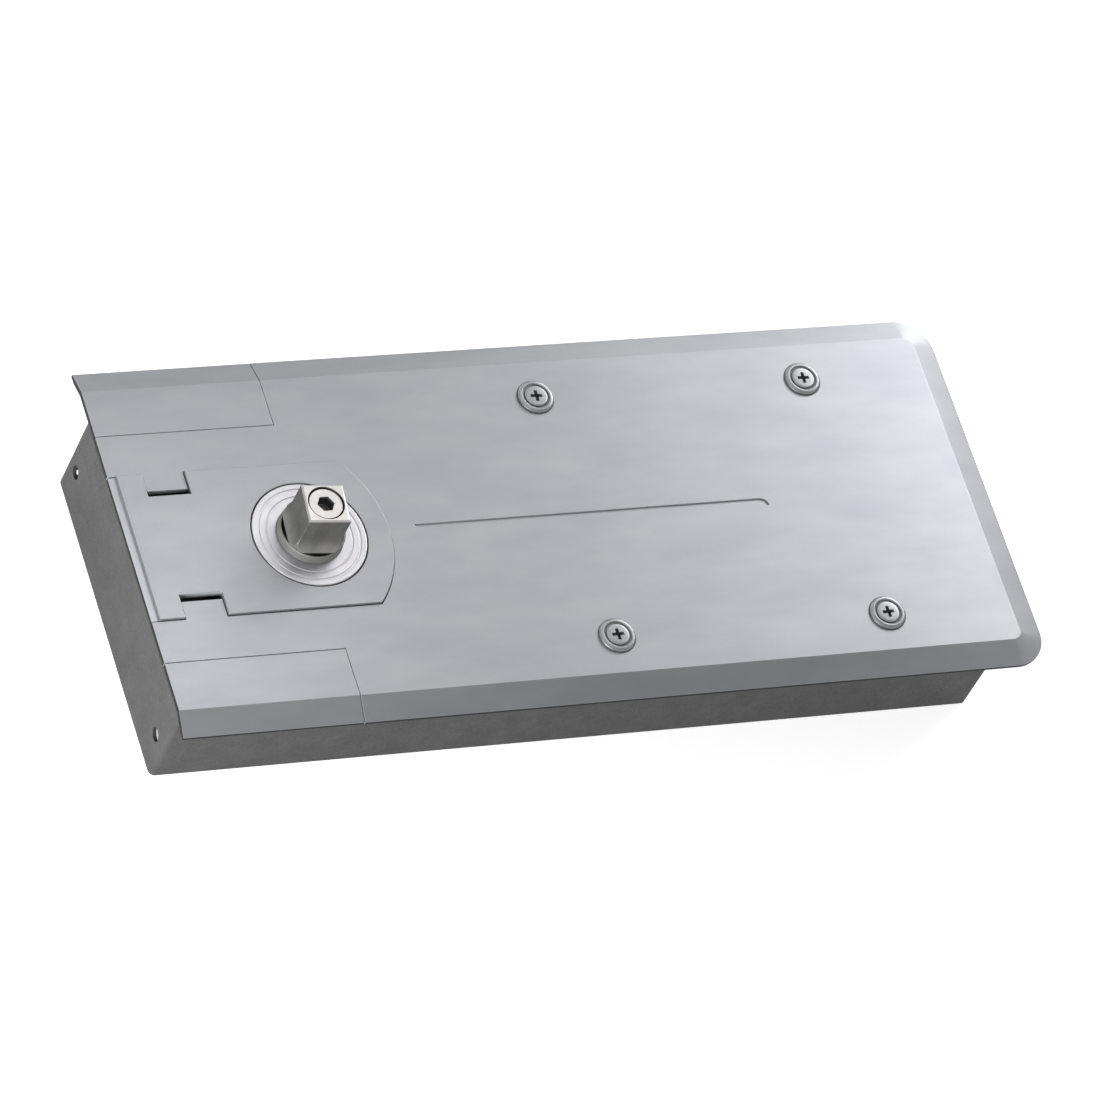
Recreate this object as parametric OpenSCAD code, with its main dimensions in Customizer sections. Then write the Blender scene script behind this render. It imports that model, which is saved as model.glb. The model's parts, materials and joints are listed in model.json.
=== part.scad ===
// Floor spring: a door closer that is set in the floor, in its cement box, under a stainless cover.
// Origin on the spindle's axis at the cover's top face. X runs to the long end, Y to the back, Z up.

/* [Cover] */
// Distance from the spindle's axis to the cover's cut end
cover_left = 71.7; // [68:0.1:80]
// Distance from the spindle's axis to the cover's far edge
cover_right = 286.6; // [275:0.1:340]
// Width of the cover over its bevels
cover_w = 160; // [150:0.5:190]
// Thickness of the cover sheet
sheet_t = 2.2; // [1.9:0.1:2.4]
// Width of the bevel on three sides
bevel_w = 10; // [7:0.5:11]
// Drop of the bevel
bevel_drop = 3.3; // [2.4:0.1:3.6]
// Depth of the rim's lower edge under the top face
rim_depth = 4.5; // [4.2:0.1:6]
// Corner radius of the flat top
top_corner_r = 4; // [2:0.5:12]
// Gap in the joints between the plates
joint_gap = 0.25; // [0.2:0.05:0.5]
// Width of a corner plate over its bevel
corner_plate_w = 30.2; // [26:0.1:34]
// Length of a corner plate from the cut end
corner_plate_l = 71.7; // [60:0.1:90]

/* [Centre groove] */
// Start of the groove from the spindle's axis
groove_start = 43.5; // [38:0.5:60]
// Length of the groove
groove_l = 144; // [80:1:160]
// Width of the groove
groove_w = 1.4; // [0.5:0.1:2]
// Depth of the groove
groove_depth = 0.6; // [0.3:0.1:1]
// Radius of the bend at the groove's end
groove_bend_r = 2.6; // [2:0.1:5]
// How far the groove lies behind the long axis
groove_back = 0.9; // [0:0.1:2]

/* [Access plate] */
// Half width of the access plate
access_half_w = 31.6; // [29:0.1:36]
// Radius of the arc at its inner end
access_arc_r = 47; // [44:0.5:50]
// Distance from the spindle's axis back to the arc's centre
access_arc_back = 14.7; // [12:0.1:20]
// Distance from the cut end to the pry notches
notch_start = 13.3; // [8:0.1:14]
// Length of a pry notch
notch_l = 17.1; // [10:0.1:20]
// Half width of the plate between its notches
notch_half_w = 21.6; // [19:0.1:23]
// Width of a pry slot
pry_slot_w = 2.7; // [1.5:0.1:3.4]
// Gap round the access plate
access_gap = 0.4; // [0.3:0.05:0.8]
// Height of the access plate over the cover
access_proud = 0.9; // [0.1:0.1:1.2]
// Width of the lowered lip at the cut end
lip_w = 3.1; // [2:0.1:6]
// Drop of the lowered lip
lip_drop = 0.4; // [0.2:0.1:1.4]

/* [Cover screws] */
// Distance from the spindle's axis to the near screws
screw_near_x = 109.5; // [100:0.5:140]
// Distance from the spindle's axis to the far screws
screw_far_x = 223.5; // [215:0.5:245]
// Distance from the box's long wall to each screw
screw_wall_gap = 10.6; // [9:0.1:12]
// Radius of the screw's thread
screw_r = 3; // [2.5:0.1:3.2]
// Radius of the screw's head
screw_head_r = 5.4; // [5:0.1:5.8]
// Length of the screw under the top face
screw_l = 17.5; // [17:0.5:22]
// Radius of the cup washer
cup_r = 7.5; // [7:0.1:8.5]
// Height of the cup washer over the cover
cup_h = 1.3; // [0.8:0.1:1.8]

/* [Cement box] */
// Overhang of the cover past the box at the cut end
end_overhang = 5; // [2:0.1:6]
// Overhang of the cover past the box at the far end
far_overhang = 11.9; // [11:0.1:16]
// Overhang of the cover past the box on each side
side_overhang = 13.9; // [11:0.1:15]
// Thickness of the box's sheet
box_wall = 1.5; // [1.2:0.1:2]
// Radius of the box's upright bends
bend_r = 2.5; // [2.5:0.1:6]
// Distance from the box's sides to the two holes in the end wall
end_hole_inset = 8.1; // [7:0.1:20]
// Radius of the holes in the end wall
end_hole_r = 2.8; // [1.5:0.1:4]
// Depth of the end wall's holes below the cover's top face
end_hole_depth = 36.5; // [20:0.5:40]
// Radius of the anchor holes in the floor
anchor_r = 5.5; // [3:0.1:6]
// Distance from the box's end walls to the edge of the anchor holes
anchor_edge_gap = 1.2; // [0.2:0.1:3]
// Distance from the box's sides to the anchor holes
anchor_side_inset = 17.4; // [10:0.1:24]
// Radius of the drain hole in the back wall
drain_r = 3; // [2:0.1:3.2]
// Distance from the box's near end to the drain hole
drain_inset = 6.6; // [6:0.1:20]

/* [Spindle] */
// Radius of the spindle's collar above the ring
collar_r = 12.9; // [12.8:0.1:13]
// Height of the collar above the cover
collar_h = 4.6; // [3:0.1:6]
// Chamfer round the collar's top
collar_chamfer = 0.3; // [0.2:0.1:0.4]
// Wall of the collar round its bore
collar_wall = 0.8; // [0.7:0.1:1.2]
// Depth of the socket for the square insert, below the cover's top face
socket_depth = 10; // [6:0.5:12]
// Radius of the turned ring
ring_r = 22.5; // [20:0.1:24]
// Gap round the turned ring
ring_gap = 0.45; // [0.3:0.05:0.8]
// Thickness of the turned ring
ring_t = 2; // [1.6:0.1:2.2]
// Radius of the upper journal
journal_r = 12; // [11.8:0.1:12.4]
// Radius of the shaft in the cam
shaft_r = 10; // [9:0.1:10.5]
// Radius of the lower journal
foot_journal_r = 8; // [7:0.1:8.5]
// Width across the flats of the insert's foot in its socket
socket_w = 17; // [15:0.1:18]
// Radius of the corners of the insert's foot in its socket
socket_corner_r = 10.4; // [9.6:0.1:10.8]
// Turn of the square insert from the cover's edge, seen from above
insert_turn = -4.5; // [-10:0.5:10]
// Width of the square across its flats
square_w = 16.5; // [15:0.1:17]
// Gap between the flats of the insert's foot and the collar's bore
foot_gap = 1.3; // [1:0.1:2]
// Height of the square's top above the cover
square_top = 22.1; // [20:0.1:40]
// Height above the cover where the flats turn straight
square_straight = 12; // [10:0.1:14]
// Gap between the spindle's flange and the bearing boss under it
head_gap = 1.2; // [0.8:0.1:6]

/* [Heart cam and carriage] */
// Opening angle of the door, in degrees
open_angle = 130; // [125:1:135]
// Travel of the carriage over that angle
travel = 14; // [12:0.5:14.5]
// Distance from the spindle's axis to the drive roller, door shut
cam_base = 21; // [20.6:0.1:22]
// Radius of the rollers
roller_r = 7.5; // [7:0.1:7.8]
// Height of the rollers
roller_h = 19.5; // [18:0.5:19.5]
// Radius of the roller pins
pin_r = 3.5; // [3:0.1:4]
// Thickness of the carriage plates
plate_t = 3; // [2:0.1:3]
// Half width of the carriage plates
plate_half_w = 17; // [16:0.5:20]
// Thickness of the yoke that takes the rod
yoke_t = 7.5; // [6:0.5:8]

/* [Closer body] */
// Height of the body above the box's floor
level_gap = 3.5; // [2.5:0.1:4]
// Thickness of the body's floor
floor_t = 6; // [5.6:0.1:6.2]
// Thickness of the chamber's side walls
chamber_wall = 6; // [5.5:0.1:6.5]
// Thickness of the bulkhead between chamber and cylinder
bulkhead_t = 8; // [7:0.5:10]
// Thickness of the lid
lid_t = 5; // [4.6:0.1:5.2]
// Radius of the cylinder bore
bore_r = 14; // [13.8:0.1:14.1]
// Wall round the cylinder bore
bore_wall = 5.5; // [4:0.1:5.6]
// Length of the piston
piston_l = 20; // [16:0.5:24]
// Radius of the piston rod
rod_r = 5; // [4:0.1:6]
// Length of the power spring, door shut
spring_l = 140; // [120:1:145]
// Radius of the spring's wire
spring_wire_r = 2.3; // [1.5:0.1:2.4]
// Number of turns of the power spring
spring_turns = 14; // [8:1:16]
// Length of the end plug
plug_l = 16; // [14:0.5:18]
// Radius of the valve screws
valve_r = 5; // [4:0.1:5.5]
// Depth of the valve screws in the body
valve_l = 18; // [12:0.5:18]
// Distance from the chamber's end to the closing speed valve
closing_valve_at = 30; // [20:1:40]
// Distance from the chamber's end to the latching speed valve
latching_valve_at = 90; // [70:1:120]

/* [Fixing of the body] */
// Distance from the spindle's axis back to the near ears
ear_near = 36; // [34:0.5:37]
// Distance from the body's far end to the far ears
ear_far_inset = 43.5; // [30:0.5:60]
// Distance from the chamber's outer side to the screws in the ears
ear_screw_out = 8.4; // [7.5:0.1:9]
// Half the distance between an ear's two screws
ear_screw_half = 7.5; // [7:0.1:8]
// Thickness of the ears
ear_t = 8; // [6:0.5:10]
// Thread radius of the screws in the ears
ear_screw_r = 4; // [3:0.1:4]

/* [Hidden] */
$fn = 64;

stainless = "#b9bfc3";
zinc_sheet = "#5c5e5f";
plated_steel = "#d9d9d6";
casting = "#6b6e70";
tool_steel = "#9a9da0";
bronze = "#b08d4f";
seal_black = "#2b2b2b";

// Overshoot of a cut past the face that it opens
cut = 1;
// Clearance between pieces that pass each other
pass_gap = 0.5;
// Radial clearance of a running fit
run_gap = 0.05;
// Clearance between a roller and the cam
cam_gap = 0.15;

cover_edge_y = cover_w / 2;
corner_plate_in = cover_edge_y - corner_plate_w;
flat_x1 = cover_right - bevel_w - top_corner_r;
flat_y1 = cover_edge_y - bevel_w - top_corner_r;
bevel_slope = bevel_drop / bevel_w;
bevel_under = sheet_t * sqrt(1 + bevel_slope * bevel_slope);
cup_hole_r = screw_head_r - 0.2;
cup_lip_w = 0.9;

arc_x = -access_arc_back;
notch_x0 = notch_start - cover_left;
notch_x1 = notch_x0 + notch_l;
ring_hole_r = ring_r + ring_gap;
ring_seat_r = collar_r + 0.2;
flange_r = ring_seat_r + 1.4;
flange_t = 2.2;
collar_bore_r = collar_r - collar_wall;
foot_corner_r = collar_bore_r - 0.15;
foot_w = 2 * (collar_bore_r - foot_gap);
flare_in = (foot_w - square_w) / 2;
flare_up = square_straight - collar_h;
flare_r = (flare_in * flare_in + flare_up * flare_up) / (2 * flare_in);

gasket_t = 0.5;
boss_h = 3.1;
seal_t = 2;
bush_wall = 3.5;
boss_wall = 4.5;
flange_z0 = -ring_t - flange_t;
boss_z1 = flange_z0 - head_gap;
lid_z1 = boss_z1 - boss_h;
lid_z0 = lid_z1 - lid_t;
chamber_z1 = lid_z0 - gasket_t;
plate_high_z = chamber_z1 - pass_gap - plate_t;
roller_z1 = plate_high_z - pass_gap;
roller_z0 = roller_z1 - roller_h;
plate_low_z = roller_z0 - pass_gap - plate_t;
chamber_z0 = plate_low_z - pass_gap;
body_z0 = chamber_z0 - floor_t;

box_left = cover_left - end_overhang;
box_right = cover_right - far_overhang;
box_half_w = cover_edge_y - side_overhang;
box_in_x0 = box_wall - box_left;
box_in_x1 = box_right - box_wall;
box_in_y = box_half_w - box_wall;
box_floor_z = body_z0 - level_gap;
box_depth = box_wall - box_floor_z;
anchor_x0 = box_in_x0 + anchor_edge_gap + anchor_r;
anchor_x1 = box_in_x1 - anchor_edge_gap - anchor_r;
anchor_y = box_half_w - anchor_side_inset;
end_hole_y = box_half_w - end_hole_inset;
drain_z = box_floor_z + drain_r + 0.1;
screw_y = box_in_y - screw_wall_gap;
screw_places = [for (x = [screw_near_x, screw_far_x], y = [-screw_y, screw_y]) [x, y]];

frame_t = 1.2;
frame_margin = 12;
frame_x1 = arc_x + access_arc_r + frame_margin;
frame_hole_r = ring_r + 4;

axis_z = (roller_z0 + roller_z1) / 2;

cam_rate = travel / open_angle;
return_x = -cam_base - 180 * cam_rate;
tip_r = -return_x - roller_r;
chamber_x0 = return_x - roller_r - 2.5;
chamber_half_w = tip_r + 1.2;
yoke_x0 = cam_base + roller_r + 1;
yoke_x1 = yoke_x0 + yoke_t;
over_travel = 2.5;
chamber_x1 = yoke_x1 + travel + over_travel;
body_x0 = chamber_x0 - chamber_wall;
body_half_w = chamber_half_w + chamber_wall;
cylinder_x0 = chamber_x1 + bulkhead_t;
piston_x0 = cylinder_x0 + 1;
piston_x1 = piston_x0 + piston_l;
seat_x0 = piston_x1 + spring_l;
seat_t = 6;
plug_x0 = seat_x0 + seat_t + 4;
plug_x1 = plug_x0 + plug_l;
body_corner_r = 8;
key_w = 5;
key_h = 2.5;
key_x0 = pass_gap + roller_z0;
thread_r = 4;
yoke_pin_r = 2;

valve_stem_l = 13;
valve_y = bore_r + valve_r + 3.4;
valve_chest_y = valve_y + valve_r + 3;
valve_top_z = axis_z + 11;
closing_valve_x = chamber_x1 + closing_valve_at;
latching_valve_x = chamber_x1 + latching_valve_at;

ear_margin = 7;
ear_half_l = ear_screw_half + ear_margin;
ear_screw_y = body_half_w + ear_screw_out;
ear_out_y = ear_screw_y + ear_margin;
ear_places = [for (x = [-ear_near, plug_x1 - ear_far_inset], s = [-1, 1]) [x, s]];
boss_floor_h = level_gap - pass_gap;

lid_screw_r = 2;
lid_screw_head = 3.5;
lid_screw_depth = 9;
lid_screw_end_y = 15;
lid_screw_y = chamber_half_w + chamber_wall / 2;
lid_screw_places = concat(
    [for (x = [chamber_x0 + 11, 5, chamber_x1 - 2], s = [-1, 1]) [x, s * lid_screw_y]],
    [for (x = [chamber_x0 - chamber_wall / 2, chamber_x1 + bulkhead_t / 2], s = [-1, 1])
        [x, s * lid_screw_end_y]]);

lug_drop = 11;
lug_z1 = -lug_drop;
lug_t = 2;
lug_half_l = 10;
lug_leg_h = 14;
nut_h = 5;
nut_flats_r = 5.77;

// A box from its low corner to its high corner
module block(low, high) {
    translate(low) cube(high - low);
}

// The same with round upright edges
module round_block(low, high, r) {
    block(low + [r, 0, 0], high - [r, 0, 0]);
    block(low + [0, r, 0], high - [0, r, 0]);
    for (x = [low[0] + r, high[0] - r], y = [low[1] + r, high[1] - r])
        translate([x, y, low[2]]) cylinder(r = r, h = high[2] - low[2]);
}

// An upright cylinder between two heights
module disc(r, z0, z1) {
    translate([0, 0, z0]) cylinder(r = r, h = z1 - z0);
}

// A cylinder along the closer's long axis
module bar(r, x0, x1) {
    translate([x0, 0, axis_z]) rotate([0, 90, 0]) cylinder(r = r, h = x1 - x0);
}

// Section of the cover's edge, from the flat top out over the bevel to the rim
module edge_section() {
    polygon([
        [0, 0],
        [top_corner_r, 0],
        [top_corner_r + bevel_w, -bevel_drop],
        [top_corner_r + bevel_w, -rim_depth],
        [top_corner_r + (rim_depth - bevel_under) / bevel_slope, -rim_depth],
        [top_corner_r - (bevel_under - sheet_t) / bevel_slope, -sheet_t],
        [0, -sheet_t]
    ]);
}

// The whole bevelled sheet, before it is parted into plates
module bevelled_sheet() {
    block([-cover_left, -flat_y1, -sheet_t], [flat_x1, flat_y1, 0]);
    translate([flat_x1, flat_y1, 0]) rotate([90, 0, 0]) linear_extrude(2 * flat_y1) edge_section();
    for (side = [0, 1]) mirror([0, side, 0]) {
        translate([-cover_left, flat_y1, 0]) rotate([90, 0, 90])
            linear_extrude(cover_left + flat_x1) edge_section();
        translate([flat_x1, flat_y1, 0]) rotate_extrude(angle = 90) edge_section();
    }
}

// Space of a corner plate, grown by a gap
module corner_space(gap) {
    block([-cover_left - cut, corner_plate_in - gap, -rim_depth - cut],
          [corner_plate_l - cover_left + gap, cover_edge_y + cut, cut]);
}

// The access plate's outline as a prism, grown by a gap; the tabs between its notches shrink alike
module access_prism(gap, slot, x0, z0, z1) {
    half_w = access_half_w + gap;
    difference() {
        intersection() {
            block([x0, -half_w, z0], [arc_x + access_arc_r + gap, half_w, z1]);
            union() {
                block([x0, -half_w, z0], [arc_x, half_w, z1]);
                translate([arc_x, 0, z0]) cylinder(r = access_arc_r + gap, h = z1 - z0);
            }
        }
        for (side = [0, 1]) mirror([0, side, 0])
            block([notch_x0 + gap, notch_half_w + slot, z0 - cut],
                  [notch_x1 - gap, half_w + cut, z1 + cut]);
    }
}

// The shallow line along the middle, with its short bend at the far end
module centre_groove() {
    end_x = groove_start + groove_l;
    block([groove_start, groove_back - groove_w / 2, -groove_depth],
          [end_x, groove_back + groove_w / 2, cut]);
    translate([end_x, groove_back - groove_bend_r, -groove_depth]) difference() {
        cylinder(r = groove_bend_r + groove_w / 2, h = groove_depth + cut);
        translate([0, 0, -cut]) cylinder(r = groove_bend_r - groove_w / 2, h = groove_depth + 3 * cut);
        block([-2 * groove_bend_r, -2 * groove_bend_r, -cut], [0, 2 * groove_bend_r, 3 * cut]);
        block([-cut, -2 * groove_bend_r, -cut], [2 * groove_bend_r, 0, 3 * cut]);
    }
}

module cover_plate() {
    color(stainless) difference() {
        bevelled_sheet();
        access_prism(access_gap, pry_slot_w, -cover_left - cut, -sheet_t - cut, cut);
        for (side = [0, 1]) mirror([0, side, 0]) corner_space(joint_gap);
        for (p = screw_places) translate(p) disc(cup_hole_r, -sheet_t - cut, cut);
        centre_groove();
    }
}

module spindle_access_plate() {
    color(stainless) difference() {
        access_prism(0, 0, -cover_left, -sheet_t, access_proud);
        disc(ring_hole_r, -sheet_t - cut, access_proud + cut);
        block([-cover_left - cut, -cover_w, -lip_drop],
              [lip_w - cover_left, cover_w, access_proud + cut]);
    }
}

module corner_plate() {
    color(stainless) intersection() {
        bevelled_sheet();
        corner_space(0);
    }
}

module corner_plate_back() {
    corner_plate();
}

module corner_plate_front() {
    mirror([0, 1, 0]) corner_plate();
}

// The sheet welded under the cover that carries the access plate and the corner plates
module backing_frame() {
    z0 = -sheet_t - frame_t;
    frame_y = box_in_y - joint_gap;
    color(zinc_sheet) difference() {
        block([box_in_x0 + joint_gap, -frame_y, z0], [frame_x1, frame_y, -sheet_t]);
        disc(frame_hole_r, z0 - cut, cut);
        for (side = [0, 1]) mirror([0, side, 0])
            block([notch_x0 - cut, notch_half_w - cut, z0 - cut],
                  [notch_x1 + cut, notch_half_w + pry_slot_w + cut, cut]);
    }
}

module cup_washer() {
    rotate_extrude() polygon([
        [cup_r, 0],
        [cup_r - 0.3, cup_h * 0.55],
        [screw_head_r + cup_lip_w, cup_h],
        [screw_head_r, cup_h],
        [screw_r, cup_h + screw_r - screw_head_r],
        [screw_r, -sheet_t],
        [cup_hole_r - 1, -sheet_t],
        [cup_hole_r, -sheet_t + 1],
        [cup_hole_r, 0]
    ]);
}

module cup_washers() {
    color(plated_steel) for (p = screw_places) translate(p) cup_washer();
}

// Countersunk screw with a flat head and a cross recess
module cover_screw() {
    rise = 0.1;
    edge_w = 0.4;
    recess_l = 5;
    recess_w = 1.4;
    recess_depth = 2;
    difference() {
        rotate_extrude() polygon([
            [0, -screw_l],
            [screw_r - 0.6, -screw_l],
            [screw_r, 0.6 - screw_l],
            [screw_r, cup_h + screw_r - screw_head_r],
            [screw_head_r, cup_h],
            [screw_head_r - edge_w, cup_h + rise],
            [0, cup_h + rise]
        ]);
        for (turn = [0, 90]) rotate([0, 0, turn])
            block([-recess_l / 2, -recess_w / 2, cup_h + rise - recess_depth],
                  [recess_l / 2, recess_w / 2, cup_h + rise + cut]);
    }
}

module cover_screws() {
    color(plated_steel) for (p = screw_places) translate(p) cover_screw();
}

// Angle lug on the box's long wall under each cover screw
module cover_lugs() {
    color(zinc_sheet) for (x = [screw_near_x, screw_far_x], side = [0, 1]) mirror([0, side, 0])
        difference() {
            union() {
                block([x - lug_half_l, screw_y - 7, lug_z1 - lug_t], [x + lug_half_l, box_in_y, lug_z1]);
                block([x - lug_half_l, box_in_y - lug_t, lug_z1 - lug_leg_h],
                      [x + lug_half_l, box_in_y, lug_z1]);
            }
            translate([x, screw_y]) disc(screw_r + 0.4, lug_z1 - lug_t - cut, lug_z1 + cut);
        }
}

module lug_nuts() {
    nut_z1 = lug_z1 - lug_t;
    color(plated_steel) for (p = screw_places) translate(p) difference() {
        translate([0, 0, nut_z1 - nut_h]) cylinder(r = nut_flats_r, h = nut_h, $fn = 6);
        disc(screw_r, nut_z1 - nut_h - cut, nut_z1 + cut);
    }
}

module cement_box() {
    in_r = bend_r - box_wall;
    color(zinc_sheet) difference() {
        round_block([-box_left, -box_half_w, -box_depth], [box_right, box_half_w, -sheet_t], bend_r);
        round_block([box_in_x0, -box_in_y, box_floor_z], [box_in_x1, box_in_y, cut], in_r);
        for (y = [-end_hole_y, end_hole_y])
            translate([-box_left - cut, y, -end_hole_depth]) rotate([0, 90, 0])
                cylinder(r = end_hole_r, h = box_wall + 2 * cut);
        for (x = [anchor_x0, anchor_x1], y = [-anchor_y, anchor_y])
            translate([x, y]) disc(anchor_r, -box_depth - cut, box_floor_z + cut);
        translate([drain_inset - box_left, box_half_w + cut, drain_z]) rotate([90, 0, 0])
            cylinder(r = drain_r, h = box_wall + 2 * cut);
    }
}

// Welded bosses on the box's floor that take the hold-down screws
module floor_bosses() {
    color(zinc_sheet) for (p = ear_places)
        translate([p[0] + ear_screw_half, p[1] * ear_screw_y]) difference() {
            disc(ear_screw_r + 2.5, box_floor_z, box_floor_z + boss_floor_h);
            disc(ear_screw_r, box_floor_z - cut, box_floor_z + boss_floor_h + cut);
        }
}

// Outside of the casting: chamber block, cylinder on its foot, valve chest and ears
module body_outside() {
    chest_x0 = closing_valve_x - valve_r - 5;
    chest_x1 = latching_valve_x + valve_r + 5;
    round_block([body_x0, -body_half_w, body_z0], [cylinder_x0, body_half_w, chamber_z1],
                body_corner_r);
    bar(bore_r + bore_wall, cylinder_x0 - cut, plug_x1);
    block([cylinder_x0 - body_corner_r, -bore_r - bore_wall, body_z0],
          [plug_x1, bore_r + bore_wall, axis_z]);
    block([chest_x0, bore_r, body_z0], [chest_x1, valve_chest_y, valve_top_z]);
    for (p = ear_places) mirror([0, p[1] < 0 ? 1 : 0, 0])
        round_block([p[0] - ear_half_l, 0, body_z0], [p[0] + ear_half_l, ear_out_y, body_z0 + ear_t],
                    4);
}

module closer_body() {
    color(casting) difference() {
        body_outside();
        block([chamber_x0, -chamber_half_w, chamber_z0],
              [chamber_x1, chamber_half_w, chamber_z1 + cut]);
        block([body_x0 - cut, -body_half_w, chamber_z1], [cylinder_x0, body_half_w, 0]);
        bar(rod_r + run_gap, chamber_x1 - cut, cylinder_x0 + cut);
        bar(bore_r, cylinder_x0, plug_x1 + cut);
        disc(foot_journal_r + bush_wall, body_z0 + 1, chamber_z0 + cut);
        for (p = lid_screw_places) translate(p)
            disc(lid_screw_r, chamber_z1 - lid_screw_depth, chamber_z1 + cut);
        for (x = [closing_valve_x, latching_valve_x]) translate([x, valve_y])
            disc(valve_r + run_gap, valve_top_z - valve_l, valve_top_z + cut);
        for (p = ear_places) translate([p[0], p[1] * ear_screw_y]) {
            translate([-ear_screw_half, 0]) disc(ear_screw_r, body_z0 - cut, body_z0 + ear_t + cut);
            translate([ear_screw_half, 0])
                disc(ear_screw_r + 0.6, body_z0 - cut, body_z0 + ear_t + cut);
        }
    }
}

// Outline shared by the lid and its gasket
module lid_slab(z0, z1) {
    difference() {
        round_block([body_x0, -body_half_w, z0], [cylinder_x0 - pass_gap, body_half_w, z1],
                    body_corner_r);
        for (p = lid_screw_places) translate(p) disc(lid_screw_r, z0 - cut, z1 + cut);
    }
}

module lid_gasket() {
    color(seal_black) difference() {
        lid_slab(chamber_z1, lid_z0);
        block([chamber_x0, -chamber_half_w, chamber_z1 - cut],
              [chamber_x1, chamber_half_w, lid_z0 + cut]);
    }
}

module body_lid() {
    bearing_r = journal_r + bush_wall;
    color(casting) difference() {
        union() {
            lid_slab(lid_z0, lid_z1);
            disc(bearing_r + boss_wall, lid_z0, boss_z1);
        }
        disc(bearing_r, lid_z0 - cut, boss_z1 + cut);
    }
}

module lid_screws() {
    head_h = 3.2;
    hex_r = 1.73;
    color(tool_steel) for (p = lid_screw_places) translate(p) difference() {
        union() {
            disc(lid_screw_r, chamber_z1 - lid_screw_depth, lid_z1);
            disc(lid_screw_head, lid_z1, lid_z1 + head_h);
        }
        translate([0, 0, lid_z1 + head_h / 3]) cylinder(r = hex_r, h = head_h, $fn = 6);
    }
}

// Socket set screws in the ears that stand on the box's floor and set the body's height
module levelling_screws() {
    top = body_z0 + ear_t + 4;
    color(plated_steel) for (p = ear_places)
        translate([p[0] - ear_screw_half, p[1] * ear_screw_y]) difference() {
            disc(ear_screw_r, box_floor_z, top);
            translate([0, 0, top - 4]) cylinder(r = ear_screw_r * 0.55, h = 4 + cut, $fn = 6);
        }
}

module hold_down_screws() {
    seat = body_z0 + ear_t;
    color(plated_steel) for (p = ear_places)
        translate([p[0] + ear_screw_half, p[1] * ear_screw_y]) {
            disc(ear_screw_r, box_floor_z, seat);
            translate([0, 0, seat]) cylinder(r = ear_screw_r + 2.9, h = ear_screw_r + 1, $fn = 6);
        }
}

// A bush between its journal and its housing
module bush(journal, z0, z1) {
    difference() {
        disc(journal + bush_wall, z0, z1);
        disc(journal + run_gap, z0 - cut, z1 + cut);
    }
}

module upper_bearing() {
    color(bronze) bush(journal_r, lid_z0, boss_z1 - seal_t);
}

module lower_bearing() {
    color(bronze) bush(foot_journal_r, body_z0 + 1, chamber_z0);
}

module spindle_seal() {
    color(seal_black) bush(journal_r, boss_z1 - seal_t, boss_z1);
}

// Square with the corners rounded to a radius
module foot_square(w, r, z0, z1) {
    intersection() {
        disc(r, z0, z1);
        block([-w / 2, -w / 2, z0], [w / 2, w / 2, z1]);
    }
}

module keyway(inner, outer) {
    block([-key_w / 2, inner, key_x0], [key_w / 2, outer, roller_z1 - pass_gap]);
}

module spindle() {
    socket_gap = 0.1;
    color(plated_steel) difference() {
        union() {
            disc(foot_journal_r, body_z0 + 1.2, roller_z0);
            disc(shaft_r, roller_z0, chamber_z1);
            disc(journal_r, chamber_z1, flange_z0);
            disc(flange_r, flange_z0, -ring_t);
            disc(ring_seat_r, -ring_t, access_proud);
            disc(collar_r, access_proud, collar_h - collar_chamfer);
            translate([0, 0, collar_h - collar_chamfer])
                cylinder(r1 = collar_r, r2 = collar_r - collar_chamfer, h = collar_chamfer);
        }
        disc(collar_bore_r, -ring_t, collar_h + cut);
        rotate([0, 0, insert_turn])
            foot_square(socket_w + 2 * socket_gap, socket_corner_r + socket_gap, -socket_depth, 0);
        disc(thread_r, -socket_depth - 12, 0);
        keyway(shaft_r - key_h, shaft_r + cut);
    }
}

module spindle_ring() {
    step = 0.3;
    groove_at = [2.2, 5.4];
    groove_ends = [3, 6];
    top = access_proud;
    color(plated_steel) rotate_extrude() polygon([
        [ring_seat_r, -ring_t],
        [ring_r, -ring_t],
        [ring_r, top - step],
        [ring_r - step, top],
        for (i = [0, 1]) for (p = [
            [ring_r - groove_at[i], top],
            [ring_r - groove_at[i], top - step],
            [ring_r - groove_ends[i], top - step],
            [ring_r - groove_ends[i], top]
        ]) p,
        [ring_seat_r, top]
    ]);
}

// Square insert for the door's strap: a foot in its socket, a wide shoulder in and over the collar,
// hollow flanks, then the straight square
module spindle_insert() {
    half = square_w / 2;
    chamfer = 0.6;
    head_bore_r = 7.1;
    head_bore_depth = 8.6;
    color(plated_steel) rotate([0, 0, insert_turn]) difference() {
        union() {
            foot_square(socket_w, socket_corner_r, -socket_depth, -ring_t);
            foot_square(foot_w, foot_corner_r, -ring_t, collar_h);
            foot_square(foot_w, collar_r - collar_chamfer, collar_h, square_top);
        }
        for (turn = [0:90:270]) rotate([0, 0, turn]) {
            translate([half + flare_r, 0, square_straight]) rotate([90, 0, 0])
                cylinder(r = flare_r, h = 2 * foot_w, center = true);
            block([half, -foot_w, square_straight], [foot_w, foot_w, square_top + cut]);
            translate([half, 0, square_top]) rotate([0, 45, 0])
                cube([chamfer * sqrt(2), 2 * foot_w, chamfer * sqrt(2)], center = true);
        }
        disc(thread_r + 0.4, -socket_depth - cut, square_top);
        disc(head_bore_r, square_top - head_bore_depth, square_top + cut);
    }
}

module spindle_screw() {
    head_r = 6.5;
    head_h = 8;
    hex_r = 3.46;
    hex_depth = 5;
    seat = square_top - 8.6;
    color(plated_steel) difference() {
        union() {
            disc(thread_r, -socket_depth - 11, seat);
            disc(head_r, seat, seat + head_h);
        }
        translate([0, 0, seat + head_h - hex_depth]) cylinder(r = hex_r, h = hex_depth + cut, $fn = 6);
    }
}

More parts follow.
